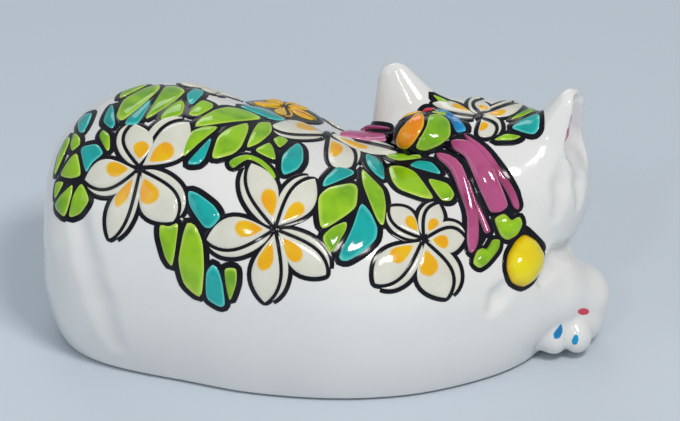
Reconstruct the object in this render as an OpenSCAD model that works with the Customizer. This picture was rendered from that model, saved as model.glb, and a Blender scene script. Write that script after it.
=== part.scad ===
// Lying ceramic cat with raised enamel flowers, leaves and a ribbon.
// X runs from the rump to the forepaws, Y from the back to the belly, Z up from the table.

/* [Torso] */
// Length of the torso casting, rump to chest
torso_length = 184; // [178:1:190]
// Depth of the torso casting, back to belly
torso_depth = 100; // [96:1:104]
// Height of the torso's widest level above the table
torso_middle = 37; // [35:1:39]
// Rise of the back above that level
torso_rise = 47; // [44:1:50]
// Wall of the hollow castings
wall = 4.5; // [3.5:0.5:5.5]
// Thickness of the flat base slab
slab = 3; // [2.5:0.5:4]
// Diameter of the vent hole in the base slab
vent = 7; // [5:0.5:10]

/* [Head] */
// Width of the head across the cheeks
head_width = 76; // [73:1:79]
// Depth of the head, nape to brow
head_depth = 62; // [59:1:65]
// Height of the head, throat to crown
head_height = 54; // [52:1:57]
// Turn of the face away from the belly side, towards the forepaws, in degrees
head_turn = 22; // [16:1:28]
// Length of an ear above the crown
ear_length = 18; // [15:1:21]

/* [Enamel] */
// Height of the petals above the glaze
petal_relief = 1; // [0.6:0.2:1.6]
// Height of the leaves above the glaze
leaf_relief = 0.8; // [0.6:0.2:1.4]
// Height of the ribbon above the glaze
ribbon_relief = 1.8; // [1.2:0.2:2.6]
// Radius of a full plumeria flower
flower_radius = 21; // [18:1:23]

/* [Hidden] */

$fn = 48;

bite = 0.2;                     // how deep a relief sinks into the glaze below it
torso_x = -8.4;                 // middle of the torso along X
base_z = 0.6;                   // underside of the torso casting, above the slab's own face
plan_power = 3.2;               // superellipse power of the torso's plan
section_power = 2.15;           // superellipse power of its cross-sections
lowest = -42;                   // where a cross-section starts and ends, in degrees below its middle
foot_share = 1.75;              // how far a cross-section would reach below its middle without the flat foot

// Profiles along the torso: [position from -1 at the rump to 1 at the chest, value]
spine_bend = [[-1, 7], [-0.8, 7], [-0.5, 4], [-0.2, -4], [0.1, -8], [0.35, -7], [0.7, 0], [1, 6]];
middle_lift = [[-1, 1], [-0.5, 1], [0, 0], [0.4, -2], [1, -7]];
rise_share = [[-1, 1.1], [-0.75, 1.17], [-0.45, 1.14], [-0.2, 1], [0.05, 0.86], [0.3, 0.78], [1, 0.7]];

head_at = [torso_x + 0.69 * torso_length / 2, 7, torso_middle + 21];
head_radii = [head_width, head_depth, head_height] / 2;
haunch_at = [-20, 30, torso_middle - 1];
haunch_radii = [31, 25, 39];

// A smooth curve through a table of [position, value] pairs
function slope(t, i) =
    let (a = t[max(i - 1, 0)], b = t[min(i + 1, len(t) - 1)])
    (b[1] - a[1]) / (b[0] - a[0]);
function span(t, x, i = 0) = i >= len(t) - 2 || x < t[i + 1][0] ? i : span(t, x, i + 1);
function curve(t, x) =
    let (i = span(t, x), a = t[i], b = t[i + 1], h = b[0] - a[0], u = min(max((x - a[0]) / h, 0), 1))
    a[1] * (1 + 2 * u) * (1 - u) ^ 2 + b[1] * u ^ 2 * (3 - 2 * u)
    + h * (slope(t, i) * u * (1 - u) ^ 2 - slope(t, i + 1) * u ^ 2 * (1 - u));

function rounded(v) = sign(v) * abs(v) ^ (2 / section_power);
function end_cap(s) = (1 - min(abs(s), 1) ^ plan_power) ^ (1 / plan_power);

// A point of the torso's skin: s runs along it, a is the angle round it from the belly side, lift is outwards
function torso_point(s, a, lift = 0, floor_z = base_z) =
    let (
        cap = end_cap(s),
        middle = torso_middle + curve(middle_lift, s),
        up = torso_rise * curve(rise_share, s) + lift,
        down = foot_share * (middle - base_z) + lift,
        z = middle + (sin(a) > 0 ? up : down) * cap * rounded(sin(a))
    )
    [
        torso_x + s * (torso_length / 2 + lift),
        curve(spine_bend, s) + (torso_depth / 2 + lift) * cap * rounded(cos(a)),
        max(z, floor_z)
    ];

// A point of an egg's skin, p millimetres right of and below the place seen at heading and height at
function turned(p, az) = [p[0] * cos(az) - p[1] * sin(az), p[0] * sin(az) + p[1] * cos(az), p[2]];
function egg_point(middle, radii, turn, at, p, lift) =
    let (
        size = (radii[0] + radii[1] + radii[2]) / 3,
        d = [p[0] / size, -cos(at[1]) - sin(at[1]) * p[1] / size, sin(at[1]) - cos(at[1]) * p[1] / size],
        n = turned(d, at[0]) / norm(d)
    )
    middle + turned([n[0] * (radii[0] + lift), n[1] * (radii[1] + lift), n[2] * (radii[2] + lift)], -turn);

// Closed solid over rings of equal length, with a point at each end
module skin(rings, first, last) {
    n = len(rings[0]);
    m = len(rings);
    points = [each [for (r = rings) each r], first, last];
    walls = [for (i = [0:m - 2], j = [0:n - 1]) let (k = (j + 1) % n) each [
        [i * n + j, (i + 1) * n + k, i * n + k],
        [i * n + j, (i + 1) * n + j, (i + 1) * n + k]
    ]];
    ends = [for (j = [0:n - 1]) let (k = (j + 1) % n) each [
        [m * n, j, k],
        [m * n + 1, (m - 1) * n + k, (m - 1) * n + j]
    ]];
    polyhedron(points, concat(walls, ends), convexity = 6);
}

module torso_solid(lift = 0, floor_z = base_z, along = 30, round = 30) {
    rings = [for (i = [1:along - 1]) let (s = -cos(180 * i / along))
        [for (j = [0:round]) torso_point(s, lowest + (180 - 2 * lowest) * j / round, lift, floor_z)]];
    skin(rings, torso_point(-1, 0, lift, floor_z), torso_point(1, 0, lift, floor_z));
}

module head_solid(lift = 0) {
    translate(head_at) rotate([0, 0, -head_turn]) scale(head_radii + [lift, lift, lift]) sphere(1);
}

// Round limb along a path of [x, y, z, radius] stations, with domed ends
module limb(path, around = 20, steps = 4) {
    n = len(path);
    stations = [for (i = [0:(n - 1) * steps]) let (t = i / steps)
        [for (c = [0:3]) curve([for (k = [0:n - 1]) [k, path[k][c]]], t)]];
    m = len(stations);
    function place(i) = [stations[i][0], stations[i][1], stations[i][2]];
    function along(i) = let (d = place(min(i + 1, m - 1)) - place(max(i - 1, 0))) d / norm(d);
    function ring(i, grow, push) =
        let (
            radius = stations[i][3],
            t = along(i),
            side = [t[1], -t[0], 0] / norm([t[0], t[1]]),
            up = cross(side, t)
        )
        [for (j = [0:around - 1]) let (a = 360 * j / around)
            place(i) + radius * (push * t + grow * (cos(a) * side + sin(a) * up))];
    function tip(i, push) = place(i) + stations[i][3] * push * along(i);
    rings = [
        for (a = [70, 40]) ring(0, cos(a), -sin(a)),
        for (i = [0:m - 1]) ring(i, 1, 0),
        for (a = [40, 70]) ring(m - 1, cos(a), sin(a))
    ];
    skin(rings, tip(0, -1), tip(m - 1, 1));
}

// A point of the named skin, p millimetres along and round from at
function skin_point(on, at, p, lift) =
    on == "head" ? egg_point(head_at, head_radii, head_turn, at, p, lift) :
    on == "haunch" ? egg_point(haunch_at, haunch_radii, 0, at, p, lift) :
    torso_point(at[0] + p[0] / (torso_length / 2), at[1] + p[1] * 1.25, lift, 0);

// Raised enamel on a skin, inside an outline about its own middle
module relief(outline, on, at, height, dome = 0) {
    function ring(share, lift) = [for (p = outline) skin_point(on, at, p * share, lift)];
    rings = [
        ring(0.45, height + dome * 0.85),
        ring(0.8, height + dome * 0.5),
        ring(1, height * 0.8),
        ring(1, -bite),
        ring(0.5, -bite)
    ];
    skin(rings, skin_point(on, at, [0, 0], height + dome), skin_point(on, at, [0, 0], -bite));
}

function spin(p, a) = [p[0] * cos(a) - p[1] * sin(a), p[0] * sin(a) + p[1] * cos(a)];

// Five rounded petals about the origin, the first one pointing along turn
function plumeria(radius, turn) = [for (i = [0:39]) let (
    a = 360 * i / 40,
    r = radius * (0.5 + 0.5 * abs(cos(2.5 * a)) ^ 0.6)
) spin([r, 0], a + turn)];

// Pointed leaf about the origin, length along its heading
function leaf(length, width, heading) = [for (i = [0:17]) let (
    a = 360 * i / 18,
    p = [length / 2 * cos(a), width / 2 * sin(a) * (1 - 0.35 * abs(cos(a)))]
) spin(p, heading)];

// The slab closes the opening inside the torso's foot
module base_slab() color("tan") difference() {
    stations = [for (i = [-10:10]) 0.08 * i];
    near = [for (i = stations) torso_point(i, 180 - lowest, -wall)];
    away = [for (i = stations) torso_point(-i, lowest, -wall)];
    linear_extrude(slab) polygon([for (p = concat(near, away)) [p[0], p[1]]]);
    translate([torso_x, 0, -1]) cylinder(d = vent, h = slab + 2);
}

module torso_shell() color("white") difference() {
    torso_solid();
    torso_solid(-wall, base_z - 2, 20, 20);
}

module head_shell() color("white") difference() {
    union() {
        head_solid();
        translate(head_at) rotate([0, 0, -head_turn]) translate([0, head_depth / 2 - 5, -8])
            scale([15, 9, 9]) sphere(1);
    }
    head_solid(-wall);
    torso_solid();
}

// An ear leans out sideways from the crown, side is -1 for the left one
module ear(side, root, lean) difference() {
    translate(head_at) rotate([0, 0, -head_turn]) translate(root) hull() {
        scale([1.15, 0.75, 1]) sphere(12, $fn = 28);
        translate([side * lean, 0, ear_length]) scale([1, 0.75, 1]) sphere(6, $fn = 24);
    }
    head_solid();
}
module ear_left() color("white") ear(-1, [-31, 3, 13], 4);
module ear_right() color("white") ear(1, [27, 3, 16], 4);

module haunch_solid() translate(haunch_at) scale(haunch_radii) sphere(1);

module haunch() color("white") difference() {
    haunch_solid();
    torso_solid();
    translate([-100, -100, -60]) cube([300, 300, 60]);
}

module hind_paw() color("white") difference() {
    limb([[-20, 44, 10, 9], [0, 47, 9.5, 9], [20, 44, 9, 8.7]]);
    torso_solid();
    haunch_solid();
}

module near_limb() translate([78.5, 12, 17]) rotate([0, 12, -30]) scale([25, 15, 14.5]) sphere(1);

module foreleg_near() color("white") difference() {
    near_limb();
    torso_solid();
}

// The near paw turns back in front of its foreleg
module forepaw_near() color("white") difference() {
    union() {
        translate([85, -10, 9.6]) rotate([0, 0, -10]) scale([12, 11, 9.2]) sphere(1);
        for (toe = [[79.5, -17, 8.8], [87.5, -17, 8.2]])
            translate(toe) scale([5.3, 6.9, 6.3]) sphere(1, $fn = 24);
    }
    near_limb();
    torso_solid();
}

module foreleg_far() color("white") difference() {
    limb([[57, 44, 14, 11], [67, 43, 11, 10.5], [77, 36, 9.8, 9.5]]);
    torso_solid();
}

module tail() color("white") difference() {
    limb([[-88, 14, 24, 12], [-82, 38, 14, 11.5], [-56, 48, 10.8, 10.5], [-34, 49.5, 9, 8.7]]);
    torso_solid();
    haunch_solid();
}

// Rounded bead, half sunk in the glaze, at a place given from the middle of the head
module bead(at, radii, lean) translate(head_at + at) rotate([0, lean, 0]) scale(radii) sphere(1);

// Flat ribbon with a crowned face along [x, y, z, width] stations given from the middle of the head
module strap(path, steps = 5) {
    n = len(path);
    facing = [0, -0.6, 0.8];    // the way its face looks, up and out over the cat's back
    stations = [for (i = [0:(n - 1) * steps]) let (t = i / steps)
        [for (c = [0:3]) curve([for (k = [0:n - 1]) [k, path[k][c]]], t)]];
    m = len(stations);
    function at(i) = head_at + [stations[i][0], stations[i][1], stations[i][2]];
    function ring(i) =
        let (
            run = at(min(i + 1, m - 1)) - at(max(i - 1, 0)),
            side = cross(run, facing) / norm(cross(run, facing)),
            up = cross(side, run) / norm(cross(side, run)),
            half = stations[i][3] / 2
        )
        [for (q = [[-1, -1], [-1, 0.5], [-0.6, 1], [0.6, 1], [1, 0.5], [1, -1]])
            at(i) + q[0] * half * side + q[1] * ribbon_relief * up];
    skin([for (i = [0:m - 1]) ring(i)], at(0), at(m - 1));
}

module knot() color("orange") difference() {
    bead([-20, -6, 22], [14, 10, 9], 8);
    head_solid();
}
module bell() color("gold") difference() {
    bead([14, -38, -13.5], [7, 6, 10.5], 12);
    torso_solid();
}
module ribbon_band() color("hotpink") strap([[-52, 0, 16.5, 8], [-42, 0, 15.5, 10], [-31, -2, 19.5, 9]]);
module ribbon_tail_upper() color("hotpink")
    strap([[-14, -13.5, 22, 9], [-5, -23.5, 18, 13], [2.5, -29.5, 11.5, 14], [8, -32.5, 4, 12]]);
module ribbon_tail_lower() color("hotpink")
    strap([[-18, -15.5, 18.5, 6], [-13.5, -24, 13.5, 8], [-9, -32.5, 7, 8], [-3.5, -42.5, -3, 8]]);
module ribbon_tip_upper() color("yellowgreen") bead([9, -35, -3], [6, 3, 4.5], 30);
module ribbon_tip_lower() color("yellowgreen") bead([1.5, -44.5, -7], [6.5, 3, 4.5], -30);

module flower_rump() color("ivory") relief(plumeria(flower_radius, 80), "torso", [-0.65, 130], petal_relief);
module flower_flank() color("ivory")
    relief(plumeria(flower_radius * 1.15, 75), "torso", [-0.11, 142], petal_relief);
module flower_shoulder() color("ivory")
    relief(plumeria(flower_radius, 85), "torso", [0.45, 137], petal_relief);
module flower_saddle() color("ivory")
    relief(plumeria(flower_radius * 0.9, 60), "torso", [0.08, 75], petal_relief);
module flower_crown() color("ivory")
    relief(plumeria(flower_radius * 0.6, 20), "head", [4, 80], petal_relief);
module flower_crest() color("ivory")
    relief(plumeria(flower_radius * 0.8, 10), "torso", [-0.28, 64], petal_relief);
module flower_haunch() color("ivory")
    relief(plumeria(flower_radius * 0.6, 40), "haunch", [120, 74], petal_relief);

module leaf_rump() color("limegreen") relief(leaf(22, 15, 60), "torso", [-0.885, 128], leaf_relief);
module leaf_hanging() color("limegreen") relief(leaf(34, 22, 60), "torso", [-0.41, 165], leaf_relief);
module leaf_crest() color("limegreen") relief(leaf(34, 18, 155), "torso", [-0.33, 103], leaf_relief);
module leaf_flank() color("teal") relief(leaf(17, 11, 35), "torso", [-0.4, 140], leaf_relief);
module leaf_shoulder() color("limegreen") relief(leaf(28, 16, 110), "torso", [0.2, 122], leaf_relief);
module leaf_crown() color("teal") relief(leaf(14, 9, 30), "head", [80, 63], leaf_relief);

base_slab();
torso_shell();
head_shell();
ear_left();
ear_right();
haunch();
hind_paw();
foreleg_near();
forepaw_near();
foreleg_far();
tail();
knot();
ribbon_band();
ribbon_tail_upper();
ribbon_tail_lower();
ribbon_tip_upper();
ribbon_tip_lower();
bell();
flower_rump();
flower_flank();
flower_shoulder();
flower_saddle();
flower_crown();
flower_crest();
flower_haunch();
leaf_rump();
leaf_hanging();
leaf_crest();
leaf_flank();
leaf_shoulder();
leaf_crown();
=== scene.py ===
"""The looks of a glazed ceramic cat: a smooth sculpt over the CAD castings, raised enamel and a studio.

Lengths are in millimetres until a mesh is made. X runs to the forepaws, Y to the belly, Z up.
"""

import math

import bmesh
import bpy
import numpy as np
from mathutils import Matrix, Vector
from mathutils.bvhtree import BVHTree


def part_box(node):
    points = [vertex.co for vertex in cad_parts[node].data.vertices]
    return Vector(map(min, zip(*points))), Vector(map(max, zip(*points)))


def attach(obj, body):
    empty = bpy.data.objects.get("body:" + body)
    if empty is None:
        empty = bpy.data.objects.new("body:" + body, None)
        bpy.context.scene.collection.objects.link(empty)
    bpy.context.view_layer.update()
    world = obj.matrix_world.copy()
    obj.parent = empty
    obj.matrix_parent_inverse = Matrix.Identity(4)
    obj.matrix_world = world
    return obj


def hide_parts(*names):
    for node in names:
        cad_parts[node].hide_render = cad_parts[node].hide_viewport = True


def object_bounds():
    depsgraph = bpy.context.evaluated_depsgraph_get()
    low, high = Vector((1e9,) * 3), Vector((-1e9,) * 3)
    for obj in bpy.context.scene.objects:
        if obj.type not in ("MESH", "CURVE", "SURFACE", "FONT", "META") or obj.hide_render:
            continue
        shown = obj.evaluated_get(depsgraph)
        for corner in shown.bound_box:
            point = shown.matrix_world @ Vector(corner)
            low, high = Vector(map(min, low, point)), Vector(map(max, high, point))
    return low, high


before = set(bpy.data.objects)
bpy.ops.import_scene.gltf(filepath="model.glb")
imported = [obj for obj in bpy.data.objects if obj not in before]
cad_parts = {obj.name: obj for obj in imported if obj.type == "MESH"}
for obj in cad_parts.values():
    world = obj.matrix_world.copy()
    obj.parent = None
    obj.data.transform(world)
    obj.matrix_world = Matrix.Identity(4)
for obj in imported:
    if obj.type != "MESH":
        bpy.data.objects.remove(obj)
cad_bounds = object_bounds()

MM = 0.001
# Grid cell of the sculpted skin, in millimetres
CELL = 1.2


# ---- where the castings are


def box(node):
    """Lowest and highest corner of a CAD node, in millimetres."""
    low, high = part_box(node)
    return np.array(low) / MM, np.array(high) / MM


TORSO_LOW, TORSO_HIGH = box("torso_shell")
TORSO_X = (TORSO_LOW[0] + TORSO_HIGH[0]) / 2
HALF_LENGTH = (TORSO_HIGH[0] - TORSO_LOW[0]) / 2
FOOT_Z = TORSO_LOW[2]
# Half the torso's depth, the height of its widest level, and the rise of the back above that
HALF_DEPTH = 50.0
WIDEST_Z = 37.0
BACK_RISE = 47.0
# Superellipse powers of the torso's cross-sections and of its plan
SECTION_POWER = 2.15
PLAN_POWER = 3.2
# How far below its widest level a cross-section would close, against the foot that cuts it off
UNDER_SHARE = 1.75
# Millimetres to one unit of the torso's field, near its skin
TORSO_FIELD = 46.0

HEAD_RADII = np.array([38.0, 31.0, 27.0])
HEAD_AT = np.array([55.0, 7.0, box("head_shell")[1][2] - HEAD_RADII[2]])
HEAD_TURN = math.radians(22)
KNOT_AT = HEAD_AT + np.array([-19.0, -6.0, 19.0])
KNOT_RADII = (13.5, 10.0, 8.0)
KNOT_LEAN = math.radians(8)

# Profiles along the torso, the position running from -1 at the rump to 1 at the chest
SPINE_BEND = [(-1, 7), (-0.8, 7), (-0.5, 4), (-0.2, -4), (0.1, -8), (0.35, -7), (0.7, 0), (1, 6)]
MIDDLE_LIFT = [(-1, 1), (-0.5, 1), (0, 0), (0.4, -2), (1, -7)]
RISE_SHARE = [(-1, 1.1), (-0.75, 1.17), (-0.45, 1.14), (-0.2, 1.0), (0.05, 0.86), (0.3, 0.78), (1, 0.7)]


def profile(knots, s):
    """A smooth curve through (position, value) knots, read at every value of s."""
    x = np.array([a for a, _ in knots], float)
    y = np.array([b for _, b in knots], float)
    rate = np.gradient(y, x)
    s = np.clip(s, x[0], x[-1])
    i = np.clip(np.searchsorted(x, s, side="right") - 1, 0, len(x) - 2)
    h = x[i + 1] - x[i]
    u = (s - x[i]) / h
    start = y[i] * (1 + 2 * u) * (1 - u) ** 2 + h * rate[i] * u * (1 - u) ** 2
    end = y[i + 1] * u * u * (3 - 2 * u) - h * rate[i + 1] * u * u * (1 - u)
    return start + end


# ---- soft solids, as signed distances


def blend(a, b, softness):
    """Union of two solids with a fillet."""
    h = np.clip(0.5 + 0.5 * (b - a) / softness, 0, 1)
    return b + (a - b) * h - softness * h * (1 - h)


def carve(a, b, softness):
    """Solid a with b taken out of it, the edge rounded."""
    return -blend(-a, b, softness)


def turned(p, at, yaw):
    """Points in the axes of something that stands at a place, turned clockwise by yaw, seen from above."""
    q = p - np.array(at, float)
    c, s = math.cos(yaw), math.sin(yaw)
    return np.stack([q[..., 0] * c - q[..., 1] * s, q[..., 0] * s + q[..., 1] * c, q[..., 2]], -1)


def egg(p, at, radii, yaw=0.0):
    radii = np.array(radii, float)
    q = turned(p, at, math.radians(yaw)) / radii
    length = np.linalg.norm(q, axis=-1)
    steep = np.linalg.norm(q / radii, axis=-1)
    return length * (length - 1) / np.maximum(steep, 1e-6)


def rod(p, path, softness=3.0):
    """Round rod through (x, y, z, radius) stations."""
    out = None
    for a, b in zip(path[:-1], path[1:]):
        start = np.array(a[:3], float)
        run = np.array(b[:3], float) - start
        t = np.clip(((p - start) @ run) / (run @ run), 0, 1)
        d = np.linalg.norm(p - start - t[..., None] * run, axis=-1) - (a[3] + t * (b[3] - a[3]))
        out = d if out is None else blend(out, d, softness)
    return out


def superellipse(a, b, power):
    """1 on the curve with half-axes of 1, less inside it and more outside."""
    return (np.abs(a) ** power + np.abs(b) ** power) ** (1 / power)


def torso(p):
    s = (p[..., 0] - TORSO_X) / HALF_LENGTH
    y = p[..., 1] - profile(SPINE_BEND, s)
    lift = profile(MIDDLE_LIFT, s)
    z = p[..., 2] - WIDEST_Z - lift
    below = UNDER_SHARE * (WIDEST_Z + lift - FOOT_Z)
    tall = np.where(z > 0, BACK_RISE * profile(RISE_SHARE, s), below)
    across = superellipse(y / HALF_DEPTH, z / tall, SECTION_POWER)
    return TORSO_FIELD * (superellipse(s, across, PLAN_POWER) - 1)


# Parts of the face: place in the head's axes, radii, and how softly each runs in. The first two come in pairs
CHEEK = ((19, 15, -9), (14, 13.5, 13), 8.0)
WHISKER_PAD = ((6.5, 28.5, -9.5), (8.5, 6.5, 6), 4.0)
CHIN = ((0, 26, -15), (9, 7, 5), 4.0)
NOSE_BRIDGE = ((0, 29, 0), (5, 6, 10), 7.0)


def head(p):
    q = turned(p, HEAD_AT, HEAD_TURN)
    skull = egg(q, (0, 0, 0), HEAD_RADII)
    for side in (-1, 1):
        for (x, y, z), radii, softness in (CHEEK, WHISKER_PAD):
            skull = blend(skull, egg(q, (side * x, y, z), radii), softness)
    for at, radii, softness in (CHIN, NOSE_BRIDGE):
        skull = blend(skull, egg(q, at, radii), softness)
    return skull


# Foot and tip in the head's axes with their radii, thickness against width, and where the hollow faces, in
# degrees from the face towards the right
EARS = {
    "ear_left": ((-27, 3, 11, 16.0), (-35, 4, 30, 6.5), 0.6, -12),
    "ear_right": ((23, 3, 12, 14.5), (30, 4, 32, 6.5), 0.8, 92),
}
# The hollow's size and how far in front it sits, against the ear's width at each level, and its proportions
HOLLOW_SIZE = 0.85
HOLLOW_FRONT = 0.75
HOLLOW_WIDE = 0.8
HOLLOW_DEEP = 0.75
HOLLOW_RIM = 1.4
# Brings the field of a thinned ear back to about millimetres
EAR_FIELD = 0.75


def ear(p, name):
    """A cone with round ends, thinner from front to back, and a hollow in its front."""
    foot, tip, thick, facing = EARS[name]
    slim = np.array([1, 1 / thick, 1])
    stand, lean = (np.array(end[:3], float) for end in (foot, tip))
    run = turned(lean, stand, math.radians(facing)) * slim
    q = turned(turned(p, HEAD_AT, HEAD_TURN), stand, math.radians(facing)) * slim
    length = np.linalg.norm(run)
    taper = (foot[3] - tip[3]) / length
    along = q @ (run / length)
    aside = np.sqrt(np.maximum((q**2).sum(-1) - along**2, 0))
    t = np.clip((along - aside * taper / math.sqrt(1 - taper**2)) / length, 0, 1)
    r = q - t[..., None] * run
    wide = foot[3] + (tip[3] - foot[3]) * t
    shell = np.linalg.norm(r, axis=-1) - wide
    front = (r[..., 1] - HOLLOW_FRONT * wide) / HOLLOW_DEEP
    hollow = np.sqrt((r[..., 0] / HOLLOW_WIDE) ** 2 + front**2 + r[..., 2] ** 2) - HOLLOW_SIZE * wide
    return carve(EAR_FIELD * shell, EAR_FIELD * hollow, HOLLOW_RIM)


# Limbs are rods through (x, y, z, radius) stations, with toes at (x, y, z) on their ends
NEAR_LEG = [(64, -18, 24, 14), (78, -12, 23, 11.5), (88.5, -5, 17.5, 11)]
NEAR_TOES = [(79.5, -19, 8.8), (87.5, -17.5, 8.4)]
FAR_LEG = [(56, 44, 14, 11), (66, 43, 11, 10.5), (75, 37, 9.8, 9.5)]
FAR_TOES = [(80, 40, 6), (82, 34, 6), (80, 28.5, 6)]
HIND_LEG = [(-20, 44, 10, 9), (0, 47, 9.5, 9), (20, 44, 9, 8.7)]
HIND_TOES = [(27, 49, 5.8), (29, 43.5, 5.8), (27.5, 38, 5.8)]
TAIL = [
    (-84, -15, 58, 8),
    (-86, -11, 44, 10.5),
    (-84.5, -5, 26, 12),
    (-79.5, 20, 14, 11.5),
    (-56, 45, 10.8, 10.5),
    (-34, 48, 9, 8.7),
]
# Two that are egg-shaped: place, radii and turn in degrees
HAUNCH = ((-20, 30, 36), (31, 25, 38), 0)
NEAR_PAD = ((85.5, -8, 9), (11.5, 10, 9), -10)
# Radius of a toe on the near forepaw and on the others, and a toe's half-length and half-height against it
BIG_TOE = 5.4
SMALL_TOE = 4.8
TOE_LONG = 1.3
TOE_TALL = 1.2
# How softly toes run into each other and into the paw
TOE_SOFTNESS = 1.5
PAW_SOFTNESS = 2.2

# Soft grooves pressed into the clay: how soft, and (x, y, z, radius) stations on the skin
CREASES = [
    (7.0, [(-88, -27, 60, 0.4), (-85.5, -35, 46, 1.7), (-81, -38, 31, 1.8), (-76, -37, 13, 0.6)]),
    (3.0, [(83, -13.5, 75, 1.2), (82, -17.5, 68, 2.8), (80.5, -21, 57, 1.6)]),
    (3.0, [(87.5, -11.5, 71.5, 1.0), (88.8, -10.5, 65, 2.4), (88, -12, 57, 1.0)]),
    (3.5, [(74, -28.5, 36, 0.8), (79.9, -18.6, 40.5, 2.6), (86, -5, 38, 2.6)]),
    (3.5, [(57, -44, 33, 1.0), (59.5, -42.5, 37, 2.4), (62, -40, 40, 1.2)]),
]


def paw(p, limb, places, radius):
    """A limb with toes on its end."""
    toes = None
    for at in places:
        toe = egg(p, at, (radius, TOE_LONG * radius, TOE_TALL * radius))
        toes = toe if toes is None else blend(toes, toe, TOE_SOFTNESS)
    return blend(limb, toes, PAW_SOFTNESS)


def knot(p):
    q = p - KNOT_AT
    across = q[..., 0] * math.cos(KNOT_LEAN) - q[..., 2] * math.sin(KNOT_LEAN)
    rise = q[..., 0] * math.sin(KNOT_LEAN) + q[..., 2] * math.cos(KNOT_LEAN)
    return egg(np.stack([across, q[..., 1], rise], -1), (0, 0, 0), KNOT_RADII)


# Every casting: its solid, and how softly it runs into the ones before it
CASTINGS = {
    "torso": (torso, 0.0),
    "head": (head, 9.0),
    "haunch": (lambda p: egg(p, *HAUNCH), 9.0),
    "ear_left": (lambda p: ear(p, "ear_left"), 6.0),
    "ear_right": (lambda p: ear(p, "ear_right"), 6.0),
    "tail": (lambda p: rod(p, TAIL, 6.0), 4.0),
    "hind_paw": (lambda p: paw(p, rod(p, HIND_LEG), HIND_TOES, SMALL_TOE), 4.0),
    "foreleg_far": (lambda p: paw(p, rod(p, FAR_LEG), FAR_TOES, SMALL_TOE), 5.0),
    "foreleg_near": (lambda p: rod(p, NEAR_LEG), 8.0),
    "forepaw_near": (lambda p: paw(p, egg(p, *NEAR_PAD), NEAR_TOES, BIG_TOE), 3.6),
    "knot": (knot, 1.0),
}
# How softly the skin turns under at the foot
FOOT_SOFTNESS = 1.2


def figure(p):
    """The whole cat: its distance field, and the nearest casting's number."""
    whole, nearest, label = None, None, None
    for number, (solid, softness) in enumerate(CASTINGS.values()):
        d = solid(p)
        if whole is None:
            whole, nearest, label = d, d, np.zeros(d.shape, int)
            continue
        label = np.where(d < nearest, number, label)
        nearest = np.minimum(nearest, d)
        whole = blend(whole, d, softness)
    for softness, path in CREASES:
        whole = carve(whole, rod(p, path), softness)
    return -blend(-whole, p[..., 2] - FOOT_Z, FOOT_SOFTNESS), label


def unit(v):
    return v / np.maximum(np.linalg.norm(v, axis=-1, keepdims=True), 1e-9)


def slope(p):
    """Outward direction of the figure's surface at each point, and its steepness."""
    step = 0.05
    g = np.stack([figure(p + step * e)[0] - figure(p - step * e)[0] for e in np.eye(3)], -1) / (2 * step)
    return unit(g), np.linalg.norm(g, axis=-1, keepdims=True)


# The least steepness that a step towards the surface is worked out with
LEAST_SLOPE = 0.3


def to_surface(p, rounds, reach):
    """Moves points onto the figure's surface, by up to so many millimetres a round."""
    for _ in range(rounds):
        out, steep = slope(p)
        p = p - out * np.clip(figure(p)[0][..., None] / np.maximum(steep, LEAST_SLOPE), -reach, reach)
    return p


# ---- the sculpted skin


def skin_mesh(low, high, cell):
    """Quads over the figure's surface, a vertex in each grid cell that it crosses."""
    axes = [np.arange(a, b + cell, cell) for a, b in zip(low, high)]
    field = np.empty([len(a) for a in axes], np.float32)
    for i, x in enumerate(axes[0]):
        y, z = np.meshgrid(axes[1], axes[2], indexing="ij")
        field[i] = figure(np.stack([np.full_like(y, x), y, z], -1))[0]
    inside = field < 0
    corners = np.array([(i, j, k) for i in (0, 1) for j in (0, 1) for k in (0, 1)])
    shape = np.array(field.shape) - 1
    views = [inside[i : i + shape[0], j : j + shape[1], k : k + shape[2]] for i, j, k in corners]
    count = sum(v.astype(np.int8) for v in views)
    cells = np.argwhere((count > 0) & (count < 8))
    number = np.full(shape, -1)
    number[tuple(cells.T)] = np.arange(len(cells))
    values = np.stack([field[tuple((cells + c).T)] for c in corners], -1)
    total, hits = np.zeros((len(cells), 3)), np.zeros((len(cells), 1))
    for a in range(8):
        for b in range(a + 1, 8):
            if abs(corners[a] - corners[b]).sum() != 1:
                continue
            crossing = (values[:, a] < 0) != (values[:, b] < 0)
            t = values[:, a] / np.where(crossing, values[:, a] - values[:, b], 1)
            point = corners[a] + t[:, None] * (corners[b] - corners[a])
            total += np.where(crossing[:, None], point, 0)
            hits += crossing[:, None]
    points = np.array(low) + cell * (cells + total / hits)
    quads = []
    for axis in range(3):
        others = [(axis + 1) % 3, (axis + 2) % 3]
        u, v = np.eye(3, dtype=int)[others]
        here = np.argwhere(np.diff(inside, axis=axis))
        for other in others:
            here = here[(here[:, other] > 0) & (here[:, other] < shape[other])]
        ring = np.stack([number[tuple((here - d).T)] for d in (u + v, v, 0 * u, u)], -1)
        outward = inside[tuple(here.T)]
        quads.append(np.where(outward[:, None], ring, ring[:, ::-1]))
    return points, np.concatenate(quads)


# How far towards the middle of its neighbours a vertex moves in each round of settling
EVENING = (0.6, 0.6, 0.5, 0.0)


def settle(points, quads):
    """Evens the quads out and puts every vertex exactly on the surface."""
    for share in EVENING:
        if share:
            total, hits = np.zeros_like(points), np.zeros((len(points), 1))
            for i in range(4):
                np.add.at(total, quads[:, i], points[quads[:, (i + 1) % 4]] + points[quads[:, (i + 3) % 4]])
                np.add.at(hits, quads[:, i], 2)
            points = points + share * (total / hits - points)
        points = to_surface(points, 2, 1)
    return points


def link(name, data):
    obj = bpy.data.objects.new(name, data)
    bpy.context.scene.collection.objects.link(obj)
    return obj


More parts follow.
